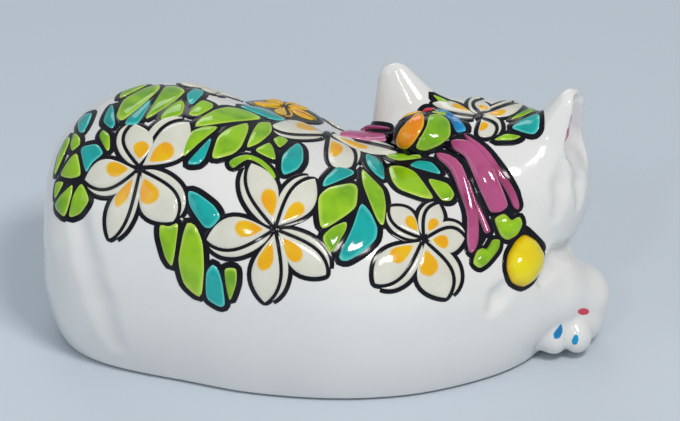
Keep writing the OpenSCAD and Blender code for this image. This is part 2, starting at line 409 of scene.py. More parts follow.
def new_mesh(name, points, faces, materials):
    """A smoothly shaded mesh, its points given in millimetres."""
    mesh = bpy.data.meshes.new(name)
    mesh.from_pydata((np.array(points) * MM).tolist(), [], faces)
    mesh.polygons.foreach_set("use_smooth", [True] * len(faces))
    for material in materials:
        mesh.materials.append(material)
    return mesh


def mesh_object(name, points, faces, material, normals=None):
    mesh = new_mesh(name, points, [list(map(int, f)) for f in faces], [material])
    mesh.validate()
    if normals is not None:
        mesh.normals_split_custom_set_from_vertices(normals.tolist())
    mesh.update()
    return link(name, mesh)


def casting(name, points, normals, quads, wall, material):
    """One casting as a closed shell: its share of the skin, the same a wall further in, and a rim."""
    used, inverse = np.unique(quads, return_inverse=True)
    faces = inverse.reshape(quads.shape)
    n = len(used)
    edges = {}
    for i in range(4):
        for a, b in zip(faces[:, i], faces[:, (i + 1) % 4]):
            if (b, a) in edges:
                del edges[(b, a)]
            else:
                edges[(a, b)] = True
    rim = [(b, a, a + n, b + n) for a, b in edges]
    outer, out = points[used], normals[used]
    inner = outer - wall * out
    inner[:, 2] = np.maximum(inner[:, 2], outer[:, 2].min())
    every = [tuple(f) for f in faces] + [tuple(f[::-1] + n) for f in faces] + rim
    return mesh_object(name, np.vstack([outer, inner]), every, material, np.vstack([out, -out]))


# ---- drawing planes


# Where the camera looks from: degrees above the floor, and millimetres off, like every plane's eye
VIEW_ELEVATION = 28.0
VIEW_DISTANCE = 2400.0


class Plane:
    """A plane that drawings lie on. Its eye looks at it square on, and sight lines carry them to the skin.
    A point that misses the skin is drawn in towards the heart."""

    def __init__(self, azimuth, elevation, through=(0, 0, 0), heart=(0, 0), eye_at=(0, 0)):
        a, e = math.radians(azimuth), math.radians(elevation)
        self.back = np.array([math.sin(a) * math.cos(e), -math.cos(a) * math.cos(e), math.sin(e)])
        self.right = np.array([math.cos(a), math.sin(a), 0.0])
        self.up = np.cross(self.back, self.right)
        self.through = np.array(through, float)
        self.heart = np.array(heart, float)
        self.eye = self.place(np.array(eye_at, float)) + VIEW_DISTANCE * self.back

    def place(self, drawn):
        return self.through + drawn[..., :1] * self.right + drawn[..., 1:] * self.up

    def sight(self, drawn):
        """Where the sight line through a drawn point first meets the skin, and how far before the plane."""
        line = Vector(self.place(drawn) - self.eye)
        hit = SKIN_TREE.ray_cast(Vector(self.eye), line.normalized())[0]
        return None if hit is None else (np.array(hit), (np.array(hit) - self.through) @ self.back)


# What the camera aims at on the near plane, and how much of that plane fills the picture's width
VIEW_CENTRE = (4.1, 42.8)
VIEW_WIDTH = 241.6

FACE_AZIMUTH = 180 - math.degrees(HEAD_TURN)
NEAR = Plane(0, VIEW_ELEVATION, heart=(0, 30), eye_at=VIEW_CENTRE)
TOP = Plane(0, 89)
FAR = Plane(180, 35, heart=(0, 30))
FACE = Plane(FACE_AZIMUTH, 5, HEAD_AT)


def ear_plane(name):
    """A plane square on to an ear's hollow."""
    foot, tip, _, facing = EARS[name]
    middle = (np.array(foot[:3]) + np.array(tip[:3])) / 2
    return Plane(FACE_AZIMUTH - facing, 5, HEAD_AT + turned(middle, (0, 0, 0), -HEAD_TURN))


# ---- cells drawn on a plane

# Points along one side of a cell
SIDES = 20
# Width of the black line round a cell, and round a leaf's cells
LINE_WIDTH = 1.6
LEAF_LINE = 2.1
# How far a cell stands off the skin, and how round its top is, from 0 for flat to 1 for a dome
CELL_HEIGHT = 0.9
CELL_SWELL = 0.35
# How much of each side is cut off a corner, round by round
CORNER_CUTS = (0.16, 0.25, 0.25)


def smooth_outline(corners):
    """A closed outline inside given corners, each of them cut back round by round."""
    p = np.array(corners, float)
    for cut in CORNER_CUTS:
        after = np.roll(p, -1, 0)
        p = np.stack([p + cut * (after - p), after + cut * (p - after)], 1).reshape(-1, 2)
    return p


def even(p, count):
    """The same closed outline with its points evenly spaced."""
    loop = np.vstack([p, p[:1]])
    run = np.concatenate([[0], np.cumsum(np.linalg.norm(np.diff(loop, axis=0), axis=1))])
    at = np.linspace(0, run[-1], count, endpoint=False)
    return np.stack([np.interp(at, run, loop[:, i]) for i in (0, 1)], -1)


def cell(colour, outline, core, mark, height=CELL_HEIGHT, swell=CELL_SWELL, line=LINE_WIDTH, plane=NEAR):
    """What enamel() lays: an outline round a core, marked along and across for the materials."""
    shape = dict(outline=outline, core=core, mark=mark)
    return dict(shape, colour=colour, height=height, swell=swell, line=line, plane=plane)


def patch(colour, corners, **finish):
    """A cell with an outline about its own middle."""
    outline = even(smooth_outline(corners), 2 * SIDES)
    core = np.tile(outline.mean(0), (2 * SIDES, 1))
    return cell(colour, outline, core, np.zeros((2 * SIDES, 2)), **finish)


def around(centre, across, up, degrees):
    """A point on an ellipse."""
    a = math.radians(degrees)
    return centre[0] + across * math.cos(a), centre[1] + up * math.sin(a)


def disc(colour, at, radii, **finish):
    return patch(colour, [around(at, *radii, 30 * k) for k in range(12)], **finish)


def stations(count):
    """Shares of the way along a path, closer together at its ends."""
    return (1 - np.cos(np.linspace(0, math.pi, count))) / 2


def strip(colour, left, right, **finish):
    """A cell between two edges that run the same way."""
    outline = np.vstack([left, right[::-1]])
    core = (outline + outline[::-1]) / 2
    u = stations(len(left))
    mark = np.stack([np.concatenate([u, u[::-1]]), np.repeat([-1.0, 1.0], len(left))], -1)
    return cell(colour, outline, core, mark, **finish)


def across(p):
    """Unit vectors to the left of a path."""
    run = unit(np.gradient(p, axis=0))
    return np.stack([-run[:, 1], run[:, 0]], -1)


# The higher, the shorter the rounding at the ends of a band
END_POWER = 20


def band(colour, course, **finish):
    """A cell along (x, y, width) places, with rounded ends."""
    u = stations(SIDES)
    knots = np.linspace(0, 1, len(course))
    x, y, width = (profile([(k, s[i]) for k, s in zip(knots, course)], u) for i in range(3))
    path = np.stack([x, y], -1)
    half = (width / 2 * (1 - np.abs(2 * u - 1) ** END_POWER) ** 0.5)[:, None]
    side = across(path)
    return strip(colour, path + half * side, path - half * side, **finish)


# Where a petal's blade starts, from the flower's centre, and how far it bows to one side, against its length
ROOT_GAP = 1.7
PETAL_BOW = 0.05
# A petal is widest past its middle, and blunt
PETAL_SKEW = 1.35
PETAL_BLUNT = 0.7
# The curled edge: its gap from the blade, its thickness against the blade's width, and how blunt it is
CURL_GAP = 1.2
CURL_SHARE = 0.2
CURL_BLUNT = 0.8
CURL_HEIGHT = 0.75


def petal(colour, centre, tip, width, plane):
    """One petal: the blade, and the curled edge that shows along its left side."""
    centre, tip = np.array(centre, float), np.array(tip, float)
    u = stations(SIDES)
    length = np.linalg.norm(tip - centre)
    ahead = (tip - centre) / length
    left = np.array([-ahead[1], ahead[0]])
    root = ROOT_GAP / length
    bow = PETAL_BOW * length * np.sin(math.pi * u)
    path = centre + (root + (1 - root) * u)[:, None] * length * ahead - bow[:, None] * left
    half = width / 2 * np.sin(math.pi * u**PETAL_SKEW) ** PETAL_BLUNT
    near_side, far_side = path + half[:, None] * left, path - half[:, None] * left
    blade = strip(colour, near_side, far_side, plane=plane)
    stretch = slice(2, SIDES - 3)
    out = across(near_side)[stretch]
    thick = CURL_SHARE * width * np.sin(np.linspace(0, math.pi, len(out))) ** CURL_BLUNT
    inner = near_side[stretch] + CURL_GAP * out
    outer = inner + thick[:, None] * out
    resample = np.linspace(0, 1, SIDES)
    t = np.linspace(0, 1, len(out))
    inner, outer = (np.stack([np.interp(resample, t, e[:, i]) for i in (0, 1)], -1) for e in (inner, outer))
    back = "curl" if colour == "petal" else colour
    return [blade, strip(back, outer, inner, height=CURL_HEIGHT, plane=plane)]


EYE_RADII = (1.4, 1.4)


def flower(centre, petals, plane=NEAR, colour="petal"):
    """A black eye, and a petal for each tip and width."""
    cells = [disc("black", centre, EYE_RADII, height=0.5, line=0.4, plane=plane)]
    for tip, width in petals:
        cells += petal(colour, centre, tip, width, plane)
    return cells


PETAL_COUNT = 5


def wheel(centre, radius, turn, plane, colour="petal", width=0.52):
    """A whole flower seen square on, the petals' width given against its radius."""
    turns = [turn + 360 * k / PETAL_COUNT for k in range(PETAL_COUNT)]
    petals = [(around(centre, radius, radius, degrees), width * radius) for degrees in turns]
    return flower(centre, petals, plane, colour)


# ---- cells laid on the skin

# A point that lands further behind the rest than this has missed its part
DEPTH_SPREAD = 28.0
# Steps by which such a point is drawn in towards the plane's heart
DRAWN_IN = np.linspace(1, 0.5, 101)


def lay(plane, drawn):
    """Where drawn points meet the skin. One that misses or lands far behind is drawn in."""
    depth = None
    for shares in ([1.0], DRAWN_IN):
        found = []
        for point in drawn:
            for share in shares:
                hit = plane.sight(plane.heart + share * (point - plane.heart))
                if hit is not None and (depth is None or abs(hit[1] - depth) < DEPTH_SPREAD):
                    break
            found.append(hit)
        depth = np.median([hit[1] for hit in found if hit is not None]) if depth is None else depth
    return np.array([hit[0] for hit in found])


def onto_skin(p):
    """The nearest places on the figure's skin, and the outward directions there."""
    p = to_surface(p, 3, 3)
    return p, slope(p)[0]


# Rings of a cell, from sunken middle to crown, as shares of the way out to its edge
RINGS = (0.0, 0.55, 1.0, 1.0, 0.96, 0.88, 0.7, 0.4, 0.0)
# How many of them are sunken, and how deep they lie
SUNKEN = 3
SINK = -0.25
# How far the black ground of a cell stands off the skin
GROUND_LIFT = 0.35


def lifts(height, swell):
    """How far each ring stands off the skin. The edge is soft even on a flat top."""
    out = np.array(RINGS[SUNKEN:])
    flat = 1 - 0.5 * out**8
    dome = np.sqrt(1 - np.minimum(out, 0.995) ** 2)
    return [SINK] * SUNKEN + list(height * (flat + swell * (dome - flat)))


def enamel(name, cells, replaced=None):
    """One enamel piece: a black ground under every cell, and the coloured cells in it."""
    edges = np.stack([lay(c["plane"], c["outline"]) for c in cells])
    cores = np.stack([lay(c["plane"], c["core"]) for c in cells])
    edges, out = onto_skin(edges)
    along = np.roll(edges, -1, 1) - np.roll(edges, 1, 1)
    turn = unit(np.cross(along, out))
    inward = (turn * (edges.mean(1, keepdims=True) - edges)).sum(-1).mean(1) > 0
    turn = np.where(inward[:, None, None], -turn, turn)
    lines = np.array([c["line"] for c in cells])[:, None, None]
    grounds = edges + lines * turn
    points, faces, materials, marks, count = [], [], [], [], 0
    for rims, ground in ((grounds, True), (edges, False)):
        shares = np.array(RINGS)[:, None, None, None]
        skin, normal = onto_skin(cores + shares * (rims - cores))
        for k, c in enumerate(cells):
            if ground and c["line"] == 0:
                continue
            rise = lifts(GROUND_LIFT, 0.0) if ground else lifts(c["height"], c["swell"])
            for r, (share, lift) in enumerate(zip(RINGS, rise)):
                points.append(skin[r, k] + lift * normal[r, k])
                marks.append(np.column_stack([c["mark"] * [1, share], np.full(2 * SIDES, share)]))
            outside = clockwise(skin[SUNKEN, k], normal[SUNKEN, k])
            for r in range(len(RINGS) - 1):
                for i in range(2 * SIDES):
                    j = (i + 1) % (2 * SIDES)
                    a, b = count + r * 2 * SIDES, count + (r + 1) * 2 * SIDES
                    quad = (a + i, a + j, b + j, b + i)
                    faces.append(quad[::-1] if outside else quad)
                    materials.append("black" if ground else c["colour"])
            count += len(RINGS) * 2 * SIDES
    piece = enamel_mesh(name, np.vstack(points), faces, materials, np.vstack(marks))
    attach(piece, "root")
    if replaced:
        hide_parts(replaced)


def clockwise(ring, normal):
    """Whether a ring of points runs clockwise, seen from outside the skin."""
    middle = ring.mean(0)
    area = np.cross(ring - middle, np.roll(ring, -1, 0) - middle)
    return (area * normal).sum() < 0


# Points closer together than this are joined
WELD = 0.004 * MM


def enamel_mesh(name, points, faces, colours, marks):
    """An enamel piece, each point marked with its place in its cell for the materials."""
    names = sorted(set(colours))
    mesh = new_mesh(name, points, faces, [MATERIALS[colour] for colour in names])
    mesh.polygons.foreach_set("material_index", [names.index(c) for c in colours])
    layer = mesh.attributes.new("cell", "FLOAT_VECTOR", "POINT")
    layer.data.foreach_set("vector", marks.astype(np.float32).ravel())
    form = bmesh.new()
    form.from_mesh(mesh)
    bmesh.ops.remove_doubles(form, verts=form.verts, dist=WELD)
    bmesh.ops.dissolve_degenerate(form, edges=form.edges, dist=WELD)
    form.to_mesh(mesh)
    form.free()
    return link(name, mesh)


# ---- materials


BLACK = (0, 0, 0)
WHITE = (1, 1, 1)


def feed(tree, node, inputs):
    """Feeds inputs with values or other nodes' outputs. Each goes by its name, or by i and its number."""
    for key, value in inputs.items():
        numbered = key[0] == "i" and key[1:].isdigit()
        socket = node.inputs[int(key[1:]) if numbered else key.replace("_", " ")]
        if isinstance(value, bpy.types.NodeSocket):
            tree.links.new(value, socket)
        else:
            socket.default_value = value


def add(tree, kind, settings=None, **inputs):
    node = tree.nodes.new(kind)
    for key, value in (settings or {}).items():
        setattr(node, key, value)
    feed(tree, node, inputs)
    return node


def surface(tree, colour, roughness, **rest):
    feed(tree, tree.nodes["Principled BSDF"], {"Base_Color": colour, "Roughness": roughness, **rest})


def start(name):
    material = bpy.data.materials.new(name)
    material.use_nodes = True
    return material, material.node_tree


def texture(tree, kind, **inputs):
    """A texture in the object's own space."""
    where = add(tree, "ShaderNodeTexCoord").outputs["Object"]
    return add(tree, kind, Vector=where, **inputs).outputs


def noise(tree, scale, detail=3.0):
    return texture(tree, "ShaderNodeTexNoise", Scale=scale, Detail=detail)["Fac"]


def bump(tree, height, strength, distance, **over):
    made = add(tree, "ShaderNodeBump", Height=height, Strength=strength, Distance=distance, **over)
    return made.outputs["Normal"]


def ramp(tree, value, stops):
    """Colours at places along a value."""
    made = add(tree, "ShaderNodeValToRGB", Fac=value)
    while len(made.color_ramp.elements) < len(stops):
        made.color_ramp.elements.new(1.0)
    for element, (place, colour) in zip(made.color_ramp.elements, stops):
        element.position = place
        element.color = (*colour, 1)
    return made.outputs["Color"]


def mix(tree, factor, a, b):
    a, b = (shade if isinstance(shade, bpy.types.NodeSocket) else (*shade, 1) for shade in (a, b))
    return add(tree, "ShaderNodeMix", {"data_type": "RGBA"}, i0=factor, i6=a, i7=b).outputs[2]


def maths(tree, way, *values):
    made = {f"i{k}": value for k, value in enumerate(values)}
    return add(tree, "ShaderNodeMath", {"operation": way}, **made).outputs[0]


def glossy(tree, colour, roughness, ripple, grain, index=1.52, coat=0.2):
    """Fired glass: gloss that wanders a little, over slow ripples and a fine orange peel."""
    uneven = noise(tree, 60.0)
    shine = add(tree, "ShaderNodeMapRange", Value=uneven, To_Min=roughness * 0.7, To_Max=roughness * 1.4)
    slow = bump(tree, noise(tree, 38.0), ripple, 0.004)
    fine = bump(tree, noise(tree, 420.0), grain, 0.0006, Normal=slow)
    glass = {"IOR": index, "Coat_Weight": coat, "Coat_Roughness": 0.03}
    surface(tree, colour, shine.outputs["Result"], Normal=fine, **glass)


def white_glaze():
    """Milky tin glaze with faint clouding and a few iron specks."""
    material, tree = start("white_glaze")
    cloud = ramp(tree, noise(tree, 22.0), [(0.3, (0.80, 0.79, 0.775)), (0.7, (0.86, 0.85, 0.83))])
    dots = texture(tree, "ShaderNodeTexVoronoi", Scale=55.0)
    speck = ramp(tree, dots["Distance"], [(0.0, WHITE), (0.035, WHITE), (0.05, BLACK)])
    rare = ramp(tree, dots["Color"], [(0.0, BLACK), (0.86, BLACK), (0.9, WHITE)])
    specked = mix(tree, speck, BLACK, rare)
    glossy(tree, mix(tree, specked, cloud, (0.42, 0.36, 0.29)), 0.11, 0.10, 0.02)
    return material


def black_enamel():
    """Thick black line colour, fired slightly uneven."""
    material, tree = start("black_line")
    shades = [(0.3, (0.002, 0.002, 0.005)), (0.75, (0.008, 0.008, 0.016))]
    colour = ramp(tree, noise(tree, 160.0), shades)
    glossy(tree, colour, 0.12, 0.18, 0.06, index=1.36, coat=0.0)
    return material


def cell_coordinates(tree):
    """Along the cell, across it, and how near its rim, as three values."""
    cell = add(tree, "ShaderNodeAttribute", {"attribute_name": "cell"})
    parts = add(tree, "ShaderNodeSeparateXYZ", Vector=cell.outputs["Vector"])
    return parts.outputs["X"], parts.outputs["Y"], parts.outputs["Z"]


def colour_enamel(name, deep, body, rim):
    """Colour that pools darker here and there in its cell, and runs pale at the rim."""
    material, tree = start(name + "_enamel")
    _, _, share = cell_coordinates(tree)
    brushed = noise(tree, 150.0, 5.0)
    pools = ramp(tree, noise(tree, 85.0, 2.0), [(0.42, BLACK), (0.68, WHITE)])
    streak = maths(tree, "MULTIPLY_ADD", brushed, 0.2, -0.1)
    edge = ramp(tree, maths(tree, "ADD", share, streak), [(0.78, BLACK), (1.0, WHITE)])
    colour = mix(tree, edge, mix(tree, pools, body, deep), rim)
    glossy(tree, colour, 0.09, 0.12, 0.03)
    return material


def petal_enamel(name, spotted):
    """Warm white petals, with or without a soft orange spot near the root."""
    material, tree = start(name + "_enamel")
    along, side, _ = cell_coordinates(tree)
    brushed = noise(tree, 130.0, 4.0)
    cream = ramp(tree, brushed, [(0.3, (0.70, 0.69, 0.58)), (0.7, (0.78, 0.765, 0.67))])
    if spotted:
        shift = maths(tree, "MULTIPLY_ADD", along, 4.3, -1.45)
        slide = maths(tree, "MULTIPLY_ADD", side, 1.35, -0.2)
        far = maths(tree, "ADD", maths(tree, "POWER", shift, 2.0), maths(tree, "POWER", slide, 2.0))
        wander = maths(tree, "MULTIPLY_ADD", brushed, 0.5, -0.25)
        spot = ramp(tree, maths(tree, "ADD", far, wander), [(0.68, WHITE), (1.04, BLACK)])
        orange = ramp(tree, brushed, [(0.35, (0.88, 0.38, 0.0)), (0.65, (0.88, 0.52, 0.0))])
        cream = mix(tree, spot, cream, orange)
    glossy(tree, cream, 0.1, 0.12, 0.03)
    return material


def bisque():
    """Unglazed fired clay of the foot, with a fine sandy grain."""
    material, tree = start("bisque")
    shades = [(0.3, (0.50, 0.39, 0.28)), (0.7, (0.66, 0.54, 0.42))]
    colour = ramp(tree, noise(tree, 300.0, 6.0), shades)
    surface(tree, colour, 0.85, Normal=bump(tree, noise(tree, 900.0, 6.0), 0.3, 0.0005))
    return material


def floor_card():
    """Pale matt backdrop paper."""
    material, tree = start("floor_card")
    colour = ramp(tree, noise(tree, 3.0), [(0.3, (0.60, 0.66, 0.73)), (0.7, (0.63, 0.69, 0.76))])
    surface(tree, colour, 0.8)
    return material


# Linear colours of the cells: pooled, body, thin rim
ENAMELS = {
    "green": ((0.15, 0.38, 0.005), (0.32, 0.60, 0.008), (0.55, 0.74, 0.10)),
    "teal": ((0.0, 0.28, 0.27), (0.0, 0.42, 0.40), (0.10, 0.66, 0.62)),
    "pink": ((0.33, 0.03, 0.13), (0.49, 0.085, 0.235), (0.68, 0.27, 0.42)),
    "orange": ((0.84, 0.20, 0.0), (0.84, 0.36, 0.0), (0.86, 0.52, 0.02)),
    "amber": ((0.84, 0.34, 0.0), (0.90, 0.50, 0.0), (0.90, 0.64, 0.06)),
    "blue": ((0.0, 0.12, 0.38), (0.0, 0.30, 0.62), (0.05, 0.45, 0.74)),
    "red": ((0.5, 0.015, 0.04), (0.72, 0.03, 0.09), (0.75, 0.12, 0.15)),
    "yellow": ((0.86, 0.60, 0.0), (0.88, 0.74, 0.004), (0.84, 0.52, 0.0)),
}
MATERIALS = {name: colour_enamel(name, *shades) for name, shades in ENAMELS.items()}
MATERIALS["black"] = black_enamel()
MATERIALS["petal"] = petal_enamel("petal", spotted=True)
MATERIALS["curl"] = petal_enamel("curl", spotted=False)
MATERIALS["white"] = white_glaze()


# ---- the figure


# How far the skin's grid reaches past the CAD's lowest and highest corners
SPARE_LOW = np.array([8.0, 6.0, 1.0])
SPARE_HIGH = 4.0
GLAZED_WALL = 3.0
# Where a casting here and its CAD node have different names
NODE_OF = {"torso": "torso_shell", "head": "head_shell"}


def sculpt():
    """The whole skin, its normals, and the casting that every quad belongs to."""
    low, high = (np.array(corner) / MM for corner in cad_bounds)
    points, quads = skin_mesh(low - SPARE_LOW, high + SPARE_HIGH, CELL)
    points = settle(points, quads)
    normals, _ = slope(points)
    return points, quads, normals, figure(points)[1][quads[:, 0]]


points, quads, normals, owners = sculpt()
SKIN_TREE = BVHTree.FromPolygons([Vector(p) for p in points], quads.tolist())

for number, name in enumerate(CASTINGS):
    finish = "black" if name == "knot" else "white"
    share = quads[owners == number]
    piece = casting(name + "_glazed", points, normals, share, GLAZED_WALL, MATERIALS[finish])
    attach(piece, "root")
    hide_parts(NODE_OF.get(name, name))

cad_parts["base_slab"].data.materials.clear()
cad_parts["base_slab"].data.materials.append(bisque())


# ---- the ornament
# Places are millimetres right of and above the middle of the figure's foot, as drawn on NEAR unless said

# Leaves: the colour and the corners of each cell
LEAF_RUMP = [
    ("teal", [(-83.5, 77.5), (-87, 76.5), (-89, 73.5), (-88.5, 70.5), (-87, 70), (-85, 73.5)]),
    ("green", [(-90, 70.5), (-88, 68.5), (-88, 66), (-91, 63.5), (-91.5, 66)]),
    ("green", [(-92, 69.5), (-91.5, 67.5), (-95, 59.5), (-97, 55), (-97, 56.5), (-95.5, 63)]),
    ("green", [(-89, 63.5), (-87.5, 55), (-91.5, 54), (-95.5, 55), (-91.5, 61.5)]),
    ("green", [(-96.5, 53), (-93.5, 53), (-97, 46.5), (-97, 49)]),
    ("green", [(-90.5, 52.5), (-91, 48), (-93.5, 40), (-96.5, 43), (-97, 45), (-95, 48)]),
    ("green", [(-87.5, 53), (-84.5, 46.5), (-88, 41.5), (-92.5, 40), (-90.5, 48.5)]),
    ("teal", [(-87, 65.5), (-82, 66.5), (-79.5, 63), (-84, 59.5), (-86, 55.5), (-88, 64)]),
    ("green", [(-80, 71.5), (-77.5, 69.5), (-77.5, 64.5), (-78.5, 63.5), (-81.5, 69)]),
    ("teal", [(-76.5, 81), (-75.5, 73), (-77, 71.5), (-80, 74), (-79, 77)]),
]

LEAF_CREST = [
    ("green", [(-74.5, 82), (-73.5, 84.5), (-69.5, 86), (-63.5, 87.5), (-67.5, 85.5)]),
    ("green", [(-59.5, 87.5), (-60, 85.5), (-65.5, 80.5), (-73.5, 74), (-75.5, 76), (-73, 82), (-65.5, 86)]),
    ("teal", [(-63, 82.5), (-63.5, 80), (-66.5, 75), (-68, 73), (-72.5, 73), (-71.5, 75)]),
    ("green", [(-58, 87), (-53, 86.5), (-50.5, 85), (-55, 81), (-66, 74), (-61.5, 81.5)]),
    ("teal", [(-47.5, 86), (-44.5, 85), (-44.5, 84), (-48.5, 80), (-50, 81), (-50.5, 84)]),
    ("green", [(-52, 82), (-51, 80), (-52, 76.5), (-59.5, 74), (-59.5, 76.5), (-57, 79.5)]),
    ("green", [(-45, 82), (-41, 80.5), (-41, 79), (-46.5, 76), (-50, 76.5), (-48.5, 79)]),
    ("green", [(-48.5, 72), (-45.5, 75.5), (-40.5, 78.5), (-35.5, 79.5), (-28.5, 78), (-22.5, 75),
               (-35, 74)]),
    ("green", [(-38.5, 72.5), (-45.5, 67), (-51.5, 61.5), (-52, 63), (-51.5, 66.5), (-48.5, 71),
               (-44, 72.5)]),
    ("teal", [(-41.5, 69), (-42, 66.5), (-44, 61), (-46, 59), (-51, 59)]),
    ("green", [(-28.5, 74), (-28.5, 71), (-31, 65), (-34, 62.5), (-42, 60.5), (-39.5, 69), (-35.5, 72)]),
    ("green", [(-20.5, 74), (-20, 70.5), (-24.5, 66.5), (-29.5, 64.5), (-27.5, 70), (-25, 74)]),
    ("teal", [(-33, 80), (-26.5, 79.5), (-20, 77.5), (-14.5, 74.5), (-19.5, 74.5)]),
]

LEAF_FLANK = [
    ("green", [(-17.5, 69), (-14, 67.5), (-17.5, 64.5), (-20, 68)]),
    ("green", [(-21, 67), (-19.5, 64.5), (-18.5, 60), (-27, 64)]),
    ("teal", [(-11, 67), (-9, 64.5), (-9, 60), (-11, 57), (-16, 55), (-17, 57.5), (-16.5, 62.5)]),
    ("teal", [(-50, 50), (-46.5, 49), (-40.5, 44.5), (-38, 40.5), (-41.5, 36.5), (-44, 36.5), (-49.5, 44.5)]),
]
# A narrow one that bends over the flower, as (x, y, width) stations
ARCHED_LEAF = [
    (-35, 58.5, 3.1), (-32, 60.5, 2.6), (-28.5, 61.5, 1.6), (-24.5, 60, 1.6), (-21, 57, 1.6),
    (-19, 54, 1.2),
]

LEAF_HANGING = [
    ("green", [(-60, 38), (-56.5, 37), (-53, 39), (-54.5, 27.5), (-55.5, 22.5), (-58, 26), (-60, 33.5)]),
    ("green", [(-50, 39), (-47, 37.5), (-44.5, 31.5), (-44, 22), (-45, 11), (-51.5, 16.5), (-53.5, 25),
               (-51.5, 35)]),
    ("teal", [(-41, 24), (-39, 22), (-37.5, 17), (-36.5, 9), (-38.5, 8.5), (-43.5, 11.5), (-43.5, 21)]),
    ("green", [(-37, 22.5), (-32.5, 22.5), (-32.5, 17), (-35, 10), (-36.5, 17)]),
]

LEAF_SHOULDER = [
    ("teal", [(-2.5, 50.5), (-1.5, 54), (3, 58.5), (8.5, 57), (9.5, 55.5)]),
    ("green", [(-4, 47.5), (0, 51), (8.5, 52.5), (10.5, 51), (10, 44), (6.5, 41), (-3, 35)]),
    ("green", [(6.5, 39), (6.5, 36), (0.5, 26.5), (-2.5, 33.5), (1.5, 37)]),
    ("teal", [(11.5, 46), (15, 42), (17.5, 36.5), (17, 32.5), (13, 28.5), (6.5, 24.5), (3, 25.5),
              (8.5, 36.5)]),
    ("green", [(11.5, 58), (15, 54.5), (19.5, 50), (20.5, 44), (19.5, 36.5), (17, 39.5), (12, 52)]),
    ("teal", [(13, 63), (17, 61.5), (19.5, 58.5), (20, 53), (16.5, 55.5), (13.5, 59)]),
    ("green", [(19, 62.5), (32.5, 63), (35, 61.5), (24.5, 60)]),
    ("teal", [(28, 58.5), (32, 60.5), (37, 60), (41, 55)]),
    ("green", [(21, 58.5), (26, 58.5), (31, 56.5), (38, 46.5), (33.5, 47), (25, 50), (22.5, 53)]),
    ("green", [(34.5, 54.5), (42.5, 52.5), (45, 48.5), (43.5, 46), (40, 46)]),
]

LEAF_CROWN = [
    ("teal", [(64.5, 72), (69, 75), (75.5, 77.5), (75, 71.5), (73, 69.5), (68.5, 70.5)]),
    ("green", [(64, 74.5), (67.5, 77), (75, 80), (75, 79), (69, 76)]),
    ("green", [(58, 67.5), (63, 70), (69, 69), (65.5, 67.5)]),
    ("green", [(36.5, 84), (40, 82.5), (46, 79.5), (40, 80.5)]),
]

# Flowers seen aslant: the centre, then each petal's tip and width
FLOWERS = {
    "rump": (
        (-67, 57.5),
        [((-68.5, 73), 10), ((-49.5, 73.5), 11.5), ((-86, 53.5), 10), ((-77.5, 33), 7), ((-55, 39), 13)],
    ),
    "flank": (
        (-19, 36),
        [((-27.5, 59), 10), ((-5, 53.5), 9.5), ((-43, 32.5), 11), ((-22.5, 10.5), 10), ((-1, 20), 10)],
    ),
    "shoulder": (
        (33.5, 32.5),
        [((22, 43.5), 7), ((39, 44.5), 6.5), ((48, 32.5), 8.5), ((41.5, 12), 12), ((16.5, 17), 10.5)],
    ),
    "saddle": ((-0.5, 69.5), [((8, 58), 9), ((24.5, 63), 3), ((-20, 72.5), 4.5)]),
    "crown": ((53.5, 76), [((58, 69), 6.5), ((55, 81), 6), ((37, 80.5), 3.4), ((69, 80), 3.4)]),
}

# Flowers on TOP, seen square on: centre, radius and turn. The second lies on a black disc
CREST_FLOWER = ((-44, 27.5), 11, 205)
HAUNCH_FLOWER = ((-16, 30), 11.5, 262)
HAUNCH_DISC = (14.5, 14.5)

# The ribbon: its folds as (x, y, width) stations, and the corners of the black ground under each piece
PLEATS = {
    "ribbon_tail_lower": [
        [(39, 62.5, 2.8), (45, 58.5, 4.5), (48.5, 50, 4.2), (51, 41, 4.0), (51, 32, 4.0), (50.5, 27.5, 1.4)],
        [(49.5, 54, 0.6), (52, 46, 1.4), (54.5, 40, 2.0), (56.5, 34.5, 2.3)],
    ],
    "ribbon_tail_upper": [
        [(44, 66.5, 3.4), (51, 63.5, 6.2), (55.5, 55.5, 7.4), (59, 47.5, 7.4), (61, 42.5, 6.8)],
        [(48.5, 69, 1.1), (55.5, 63.5, 2.0), (61, 55.5, 2.5), (65, 49, 2.8), (67, 43.5, 2.3)],
    ],
    "ribbon_band": [
        [(12, 71.4, 1.0), (15, 72.2, 1.4), (18.5, 72.2, 1.4), (22, 71.8, 1.0)],
        [(4, 69, 1.2), (9, 69.3, 2.6), (15, 68.6, 3.2), (21, 68.4, 3.0)],
    ],
}
PLEAT_HEIGHT = 1.7
RIBBON_GROUND = {
    "ribbon_tail_lower": [
        (37.5, 63.5), (42, 63.5), (48, 59), (52.5, 51), (57.5, 37), (55.5, 32), (50.5, 25.5),
        (48, 30), (47.5, 45), (44, 55),
    ],
    "ribbon_tail_upper": [
        (38.5, 66.5), (43, 69), (48.5, 71), (57, 66), (64, 57), (68.5, 49), (68.5, 42),
        (57.5, 40.5), (55, 47), (51, 57), (46, 63),
    ],
    "ribbon_band": [(2, 69), (11, 72.5), (23, 74), (23, 70), (22.5, 66.5), (12, 66.5)],
}

# The notched ends of the two tails. A corner that is given twice stays sharp
TIPS = {
    "ribbon_tip_upper": [
        (58.5, 40), (62.5, 42), (65, 39.3), (65, 39.3), (68, 41), (69, 38), (67, 34), (63.5, 32),
        (61, 33.5),
    ],
    "ribbon_tip_lower": [
        (58, 32.5), (61, 32.5), (60.5, 29), (56.5, 24), (53.5, 22), (51, 24), (52.5, 28.5),
        (54.5, 29.5), (54.5, 28), (56.5, 29.5),
    ],
}
TIP_HEIGHT = 2.2

